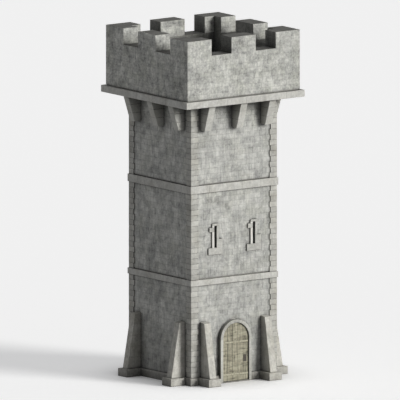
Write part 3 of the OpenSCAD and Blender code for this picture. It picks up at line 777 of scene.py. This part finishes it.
# Outer faces and inner faces along Y take the plain parapet stone. The well below the sills and the inner
# faces along X, which stand in shade, take the dark inner stone: painted shade.
for quarter, side in enumerate(SIDES):
    seed = 300 + 40 * quarter
    outer = courses(CORNICE_TOP + JOINT_TALL, CRENEL_SILL, COURSE, -EDGE, EDGE)
    for ends in MERLONS:
        outer += courses(CRENEL_SILL, MERLON_TOP, COURSE, *ends)
    upper = []
    for ends in INNER_MERLONS:
        upper += courses(CRENEL_SILL, TOWER_TOP, COURSE, *ends)
    well = courses(DECK_TOP, CRENEL_SILL, COURSE, -PARAPET_BACK, PARAPET_BACK)
    pale = [facing(-PARAPET_FACE * Y, X, Z, outer, seed=seed)]
    dark = [facing(-PARAPET_BACK * Y, -X, Z, well, seed=seed + 2)]
    along_y, along_x = (pale, dark) if side in ("front", "back") else (dark, pale)
    along_y.append(facing(-PARAPET_BACK * Y, -X, Z, upper, seed=seed + 1))
    for s in (-1, 1):
        for x, looks in ((s * CRENEL_IN, s), (s * CRENEL_OUT, -s)):
            near, far = (-EDGE, -PARAPET_BACK) if looks > 0 else (PARAPET_BACK, EDGE)
            cheek = courses(CRENEL_SILL, MERLON_TOP, COURSE, near, far)
            along_x.append(facing(x * X, looks * Y, Z, cheek, seed=seed + 5 + s + looks * 2,
                                  lengths=(0.3, 0.5)))
    piece("parapet_stones_" + side, turned(joined(pale), quarter), "tower",
          shaded_parapet if side in SHADED else parapet_stone)
    piece("parapet_inner_stones_" + side, turned(joined(dark), quarter), "tower",
          shaded_inner_stone)

near, far = -PARAPET_FACE + INSET, -PARAPET_BACK
tops = ((near, -CRENEL_OUT - INSET), (-CRENEL_IN + INSET, CRENEL_IN - INSET), (CRENEL_OUT + INSET, -near))
parts = []
for quarter in range(4):
    laid = []
    for s in (-1, 1):
        sill = [(near, far, *sorted((s * CRENEL_IN, s * CRENEL_OUT)))]
        laid.append(facing(CRENEL_SILL * Z, X, Y, sill, seed=500 + quarter * 3 + s, gap=0.002))
    limit = -near if quarter % 2 == 0 else -far
    caps = [(near, far, max(left, -limit), min(right, limit)) for left, right in tops]
    laid.append(facing(TOWER_TOP * Z, X, Y, caps, seed=520 + quarter, lengths=(0.6, 0.9), gap=0.002,
                       arris=0.003))
    parts.append(turned(joined(laid), quarter))
piece("parapet_tops", joined(parts), "tower", weathering_and_shade_caps)

# ---- Paving and floors ----
FLAG = 0.6
for name, top, half, seed in (("roof_flags", DECK_TOP, PARAPET_BACK, 601),
                              ("ground_flags", FLOOR_TOP, GROUND_ROOM_HALF, 602)):
    flags = facing(top * Z, X, Y, courses(-half, half, FLAG, -half, half), seed=seed, lengths=(0.5, 0.8),
                   gap=0.008, proud=0.002, depth=0.02, crown=0.0006, relief=0.0005)
    piece(name, flags, "tower", flag_stone)
board_low, board_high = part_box("first_floor_boards")
boards = spread(board_low.y, board_high.y, 0.19, 603)
piece("floor_planks", blocks(board_low, board_high, 1, 0.003, 0.004, 603, boards),
      "tower", floor_oak, "first_floor_boards")

# ---- Dressings of the slits ----
LINTEL_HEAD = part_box("window_lintels")[1].z
SILL_LOW, SILL_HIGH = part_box("window_sills")
SILL_HALF = 0.365
INTO = -HALF + 0.12
BOND_REACH = 0.31
BOND_FOOT = SLIT_HEAD - 0.25
BOND_HEAD = BOND_FOOT + 0.18
BASE_HEAD = SLIT_FOOT + 0.36
SLIT_STONES = (("jamb_strips", -SLIT_STRIP, -SLIT_HALF, SLIT_FOOT, BOND_FOOT),
               ("jamb_stones", -BOND_REACH, -SLIT_HALF, BOND_FOOT, BOND_HEAD),
               ("jamb_strips", -SLIT_STRIP, -SLIT_HALF, BOND_HEAD, SLIT_HEAD),
               ("jamb_stones", SLIT_HALF, SILL_HALF, SLIT_FOOT, BASE_HEAD),
               ("jamb_stones", SLIT_HALF, SLIT_STRIP, BASE_HEAD, SLIT_HEAD))


def dressing(left, right, low, high, axis, arris, radius, seed):
    """One stone of a slit's frame, from just before the wall face to well inside it."""
    return blocks((left, DRESSING_FACE, low), (right, INTO, high), axis, arris, radius, seed)


slit = {"lintel_stones": [], "jamb_stones": [], "jamb_strips": [], "sill_stones": []}
for x in SLITS:
    seed = 700 + int(x > 0) * 30
    lintel = dressing(x - SLIT_STRIP, x + SLIT_STRIP, SLIT_HEAD, LINTEL_HEAD, 0, 0.005, 0.006, seed)
    slit["lintel_stones"].append(lintel)
    sill = dressing(x - SILL_HALF, x + SILL_HALF, SILL_LOW.z, SILL_HIGH.z, 0, 0.007, 0.008, seed + 1)
    sill["tone"] -= 2.5
    slit["sill_stones"].append(sill)
    for kind, left, right, low, high in SLIT_STONES:
        count = len(slit["jamb_stones"] + slit["jamb_strips"])
        slit[kind].append(dressing(x + left, x + right, low, high, 2, 0.004, 0.006, seed + 2 + count))
for kind, node, material in (("lintel_stones", "window_lintels", dressed_stone),
                             ("jamb_stones", "window_jambs", dressed_stone),
                             ("jamb_strips", "window_jambs", highlit_jamb_stone),
                             ("sill_stones", "window_sills", dressed_stone)):
    piece("slit_" + kind, joined(slit[kind]), "tower", material, node)

# ---- Threshold ----
WORN_DEEP = 0.006
THRESHOLD_LOW, THRESHOLD_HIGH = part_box("threshold")


def worn_slab(half, low_y, high_y, seed, count=25):
    """A slab whose top is hollowed by feet: it sinks by a squared cosine across its width, and its edges
    drop by a small chamfer."""
    own = np.random.default_rng(seed)
    x, y = np.meshgrid(np.linspace(-half, half, count), np.linspace(low_y, high_y, count))
    sink = WORN_DEEP * np.cos(math.pi * x / (2 * half)) ** 2
    rough = 0.0007 * (np.sin(31 * x + own.uniform(0, 6)) + np.sin(43 * y + 9 * x + own.uniform(0, 6)))
    top = THRESHOLD_HIGH.z - sink - np.where(rim_of(count), 0.006, 0.0015 - rough)
    return slab(np.stack([x, y, top], 2), np.stack([x, y, 0 * x], 2))


parts = [worn_slab(OPENING_R, THRESHOLD_LOW.y, REBATE_Y, 821),
         worn_slab(REVEAL_HALF, REBATE_Y, THRESHOLD_HIGH.y, 822)]
piece("threshold_slabs", joined(parts), "tower", plinth_stone, "threshold")


# ---- Door surround ----
def rebated(s):
    """The surround's plan on the left (-1) or right (1) of the doorway: a full width in front of the leaf,
    and behind its face a rebate where it hangs."""
    corners = [(s * OPENING_R, SURROUND_FACE), (s * SURROUND_R, SURROUND_FACE), (s * SURROUND_R, -HALF),
               (s * REVEAL_HALF, -HALF), (s * REVEAL_HALF, REBATE_Y), (s * OPENING_R, REBATE_Y)]
    return rounded(corners[::s], 0.012)


VOUSSOIRS = 11
ARCH_LINE = 0.73
for s, side, material in ((-1, "left", highlit_surround), (1, "right", surround_stone)):
    shaft = worked(rebated(s), straight(2), spread(0, SPRING, 0.46, 801 + s, 0.06), 0.005, 803 + s)
    piece("door_jamb_stones_" + side, shaft, "tower", material, "door_jambs")
edges = np.linspace(0, math.pi * ARCH_LINE, VOUSSOIRS + 1)
arch = worked(rebated(1), arc(SPRING * Z, ARCH_LINE), list(zip(edges, edges[1:])), 0.005, 811)
piece("door_arch_stones", arch, "tower", surround_stone, "door_arch")


# ---- Door ----
def timber(left, right, foot, head, front, back, seed, rows=46, cols=15, arris=0.006, relief=0.0010):
    """A riven board: its faces wander with long sine waves along the grain and short ones across it, and
    its long edges are chamfered. head(x) gives the height of its upper end at each place across."""
    own = np.random.default_rng(seed)
    wide = right - left
    edge = arris / wide
    share = np.concatenate([[0, edge / 2, edge], np.linspace(0, 1, cols - 4)[1:-1],
                            [1 - edge, 1 - edge / 2, 1]])
    rise = np.concatenate([[0, 0.002], np.linspace(0, 1, rows - 4)[1:-1], [0.998, 1]])
    x, t = np.meshgrid(left + wide * share, rise)
    z = foot + t * (head(x) - foot)
    phase = own.uniform(0, 2 * math.pi, 8)
    k = 2 * math.pi / wide
    fibre = (np.sin(3.1 * k * x + 1.3 * z + phase[0]) + np.sin(5.3 * k * x + 2.1 * z + phase[1])
             + 0.8 * np.sin(7.7 * k * x - 1.7 * z + phase[2]) + 0.5 * np.sin(2.3 * z + phase[3])) / 3.3
    bow = 0.6 * np.sin(1.9 * z + phase[4]) * (2 * share - 1)
    rim, end = np.zeros((2, *x.shape))
    rim[:, [0, -1]] = 1
    rim[:, [1, -2]] = 0.45
    end[[0, -1]] = 1
    lift = relief * (fibre + bow) * (1 - rim) - np.maximum(rim * 0.7, end * 0.6) * arris
    part = slab(np.stack([x, front - lift, z], 2), np.stack([x, back + lift, z], 2))
    worn = np.tile(np.maximum(rim, end).ravel(), 2)
    return shape(part["points"], part["faces"], own.uniform(-1, 1), worn)


def leaf_head(x):
    """The height of the arched head over each place across the leaf: a half circle over the springing."""
    return SPRING + np.sqrt(np.maximum(LEAF_R ** 2 - x ** 2, 0))


# How strongly each plank's edges are darkened: painted shade in the seams, deepest at the first seam and at
# the right edge.
PLANK_SEAM_SHADE = (2.4, 0.9, 0.8, 0.8, 1.2)
PLANKS = len(PLANK_SEAM_SHADE)
PLANK_WIDE = 2 * LEAF_R / PLANKS
PLANK_GAP = 0.008
parts = []
for i, wear in enumerate(PLANK_SEAM_SHADE):
    left = -LEAF_R + i * PLANK_WIDE + (PLANK_GAP / 2 if i else 0)
    right = -LEAF_R + (i + 1) * PLANK_WIDE - (PLANK_GAP / 2 if i < PLANKS - 1 else 0)
    plank = timber(left, right, LEAF_FOOT, leaf_head, LEAF_FRONT, LEAF_BACK, 900 + i)
    plank["wear"] *= wear
    parts.append(plank)
piece("door_boards", joined(parts), "door", door_oak, "door_planks")

RAIL_LOW, RAIL_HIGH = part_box("door_rails")
RAIL_HALF = 0.0375
RAILS = (RAIL_LOW.z + RAIL_HALF, RAIL_HIGH.z - RAIL_HALF)
parts = []
for i, z in enumerate(RAILS):
    rail = timber(z - RAIL_HALF, z + RAIL_HALF, RAIL_LOW.x, lambda v: 0 * v + RAIL_HIGH.x, RAIL_LOW.y,
                  LEAF_FRONT, 920 + i, rows=40, cols=11, arris=0.005, relief=0.0008)
    rail["points"] = rail["points"][:, ::-1]
    rail["faces"] = [f[:, ::-1] for f in rail["faces"]]
    parts.append(rail)
piece("door_ledges", joined(parts), "door", rail_oak, "door_rails")


# ---- Ironwork ----
def nail_heads(places, way, radius, height, around=10):
    """Domed nail heads on the leaf's front (-1) or back (1): a quarter ellipse turned about each nail."""
    angle = np.linspace(0, math.pi / 2, 4)[:-1]
    away = np.array([radius, *radius * np.cos(angle), radius * 0.18])[:, None]
    rise = np.array([-0.002, *height * np.sin(angle), height])[:, None]
    turn = np.arange(around) * 2 * math.pi / around
    head = np.stack([way * away * np.cos(turn), way * rise + 0 * turn, away * np.sin(turn)], -1)
    faces = [f[:, ::-1] for f in tube(len(rise), around)]
    return joined([shape(head + place, faces) for place in places])


NAIL_FALL = 0.012
across = [-LEAF_R + (i + share) * PLANK_WIDE for i in range(PLANKS) for share in (0.28, 0.72)]
nails = [(x, RAIL_LOW.y, z + NAIL_FALL * (-1) ** i)
         for i, x in enumerate(across) for z in RAILS if abs(x) < 0.6]
piece("ledge_nails", nail_heads(nails, -1, 0.010, 0.007), "door", iron)
STRAP_BACK = LEAF_BACK + 0.008
nails = [(x, STRAP_BACK, z) for x in np.linspace(-0.58, 0.29, 7) for z in RAILS]
piece("strap_nails", nail_heads(nails, 1, 0.011, 0.007), "door", iron)

PLATE_LOW, PLATE_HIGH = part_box("lock_plate")
PLATE_X, PLATE_Z = ((PLATE_LOW + PLATE_HIGH) / 2).xz
PLATE_HALF_W, PLATE_HALF_H = ((PLATE_HIGH - PLATE_LOW) / 2).xz
PLATE_FRONT = LEAF_FRONT - 0.006
ANGLE = (np.arange(32) + 0.5) * 2 * math.pi / 32
COS, SIN = np.cos(ANGLE), np.sin(ANGLE)


def oblong(inset, lift):
    """The plate's outline, drawn in by an inset: a circle's cosine and sine raised to a small power."""
    x = (PLATE_HALF_W - inset) * np.sign(COS) * np.abs(COS) ** 0.22
    z = (PLATE_HALF_H - inset) * np.sign(SIN) * np.abs(SIN) ** 0.22
    return np.stack([x + PLATE_X, 0 * x + PLATE_FRONT - lift, z + PLATE_Z], 1)


def keyhole(size, lift):
    """A round bow over a slot that widens downwards."""
    bow = 0.0085 * size
    x = bow * COS * np.where(SIN < 0, 0.45 + 0.30 * SIN ** 2, 1)
    z = np.where(SIN < 0, -0.004 + 0.026 * size * SIN, bow * SIN + 0.002) - 0.075
    return np.stack([x + PLATE_X, 0 * x + PLATE_FRONT - lift, z + PLATE_Z], 1)


rings = [keyhole(*ring) for ring in ((1, 0.0005), (1, 0.0028), (1.30, 0.0048), (1.75, 0.0030))]
rings += [oblong(*ring) for ring in ((0.016, 0.0025), (0.011, 0.0045), (0.004, 0.0045), (-0.0005, 0.001),
                                     (-0.0005, -0.004))]
piece("lock_cover", shape(np.array(rings), tube(len(rings), len(ANGLE))), "door", iron)
NAIL_INSET = 0.022
nails = [(PLATE_X + a * (PLATE_HALF_W - NAIL_INSET), PLATE_FRONT - 0.0022,
          PLATE_Z + b * (PLATE_HALF_H - NAIL_INSET)) for a in (-1, 1) for b in (-1, 1)]
piece("lock_nails", nail_heads(nails, -1, 0.008, 0.006), "door", iron)

RING_LOW, RING_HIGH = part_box("pull_ring")
BAR_R = (RING_HIGH.y - RING_LOW.y) / 2
RING_R = (RING_HIGH.x - RING_LOW.x) / 2 - BAR_R
turn, bar = np.meshgrid(np.arange(48) * math.pi / 24, np.arange(14) * math.pi / 7, indexing="ij")
forging = BAR_R * (1 + 0.03 * np.sin(7 * turn) * np.cos(bar))
away = RING_R + forging * np.cos(bar) - 0.0002
hoop = np.stack([away * np.cos(turn), forging * np.sin(bar) * 0.98, away * np.sin(turn)], -1)
number = np.arange(turn.size).reshape(turn.shape)
next_bar = np.roll(number, -1, 1)
quads = np.stack([number, next_bar, np.roll(next_bar, -1, 0), np.roll(number, -1, 0)], -1).reshape(-1, 4)
piece("ring_handle", shape(hoop + (RING_LOW + RING_HIGH) / 2, [quads]), "door", iron,
      "pull_ring")

# ---- Floor and backdrop ----
BACKDROP = 0.895
AMBIENT = 0.44
scene.world = bpy.data.worlds.new("studio")
scene.world.use_nodes = True
room = Nodes(scene.world.node_tree)
height = room.axes(room.node("TexCoord")["Generated"])[2]
overhead = room.ramp(height, 0.20, 0.90, interpolation_type="SMOOTHSTEP")
light = room.mix(overhead, (AMBIENT * 0.99, AMBIENT, AMBIENT * 1.03, 1),
                 (AMBIENT * 0.08, AMBIENT * 0.08, AMBIENT * 0.085, 1))
light = room.mix(room.seen_or_mirrored(), light, grey(BACKDROP))
room.tree.links.new(light, room.tree.nodes["Background"].inputs[0])

REACH = 90
mesh = bpy.data.meshes.new("studio_floor")
mesh.from_pydata([(-REACH, -REACH, 0), (REACH, -REACH, 0), (REACH, REACH, 0), (-REACH, REACH, 0)], [],
                 [(0, 1, 2, 3)])
floor = bpy.data.objects.new("studio_floor", mesh)
scene.collection.objects.link(floor)
paper = bpy.data.materials.new("studio paper")
paper.use_nodes = True
sheet = Nodes(paper.node_tree)
sheet.tree.nodes.remove(sheet.tree.nodes["Principled BSDF"])
seen = sheet.seen_or_mirrored()
matt = sheet.node("BsdfDiffuse", {0: sheet.mix(seen, grey(0.4), grey(1.0))})[0]
# The floor's camera-only glow dims near the tower by occlusion: a painted contact shadow on the floor.
glow_with_painted_shadow = sheet.math("MULTIPLY", seen, sheet.ramp(sheet.open_sky(3.2, 16), 0.35, 0.95, 0.05, 0.445))
glow_with_painted_shadow = sheet.node("Emission", {0: grey(1.0), 1: glow_with_painted_shadow})[0]
both = sheet.node("AddShader", {0: matt, 1: glow_with_painted_shadow})[0]
sheet.tree.links.new(both, sheet.tree.nodes["Material Output"].inputs[0])
mesh.materials.append(paper)


# ---- Light and camera ----
def direction(turn, rise):
    """The way out from the tower at a turn from straight in front of the door and a rise, in degrees."""
    turn, rise = math.radians(turn), math.radians(rise)
    return Vector((math.sin(turn) * math.cos(rise), -math.cos(turn) * math.cos(rise), math.sin(rise)))


def aimed(name, data, along):
    """An object whose own -Z points along a direction."""
    made = bpy.data.objects.new(name, data)
    made.rotation_mode = "QUATERNION"
    made.rotation_quaternion = along.to_track_quat("-Z", "Y")
    scene.collection.objects.link(made)
    return made


key = bpy.data.lights.new("key", "SUN")
key.energy = 2.75
key.color = (1.0, 0.995, 0.975)
key.angle = math.radians(22)
aimed("key", key, -direction(27.5, 17.5))

camera = bpy.data.cameras.new("camera")
camera.type = "ORTHO"
camera.ortho_scale = 16.667
camera.clip_end = 300
CAMERA_TARGET = Vector((0, 0, 7.2917))
CAMERA_RIGHT, CAMERA_UP, CAMERA_AWAY = -0.12, 0.077, 40
look = -direction(-36.03, 9.04)
rightward = look.cross(Vector(Z)).normalized()
upward = rightward.cross(look)
viewer = aimed("camera", camera, look)
viewer.location = CAMERA_TARGET + CAMERA_RIGHT * rightward + CAMERA_UP * upward - CAMERA_AWAY * look
scene.camera = viewer
scene.view_settings.view_transform = "Standard"
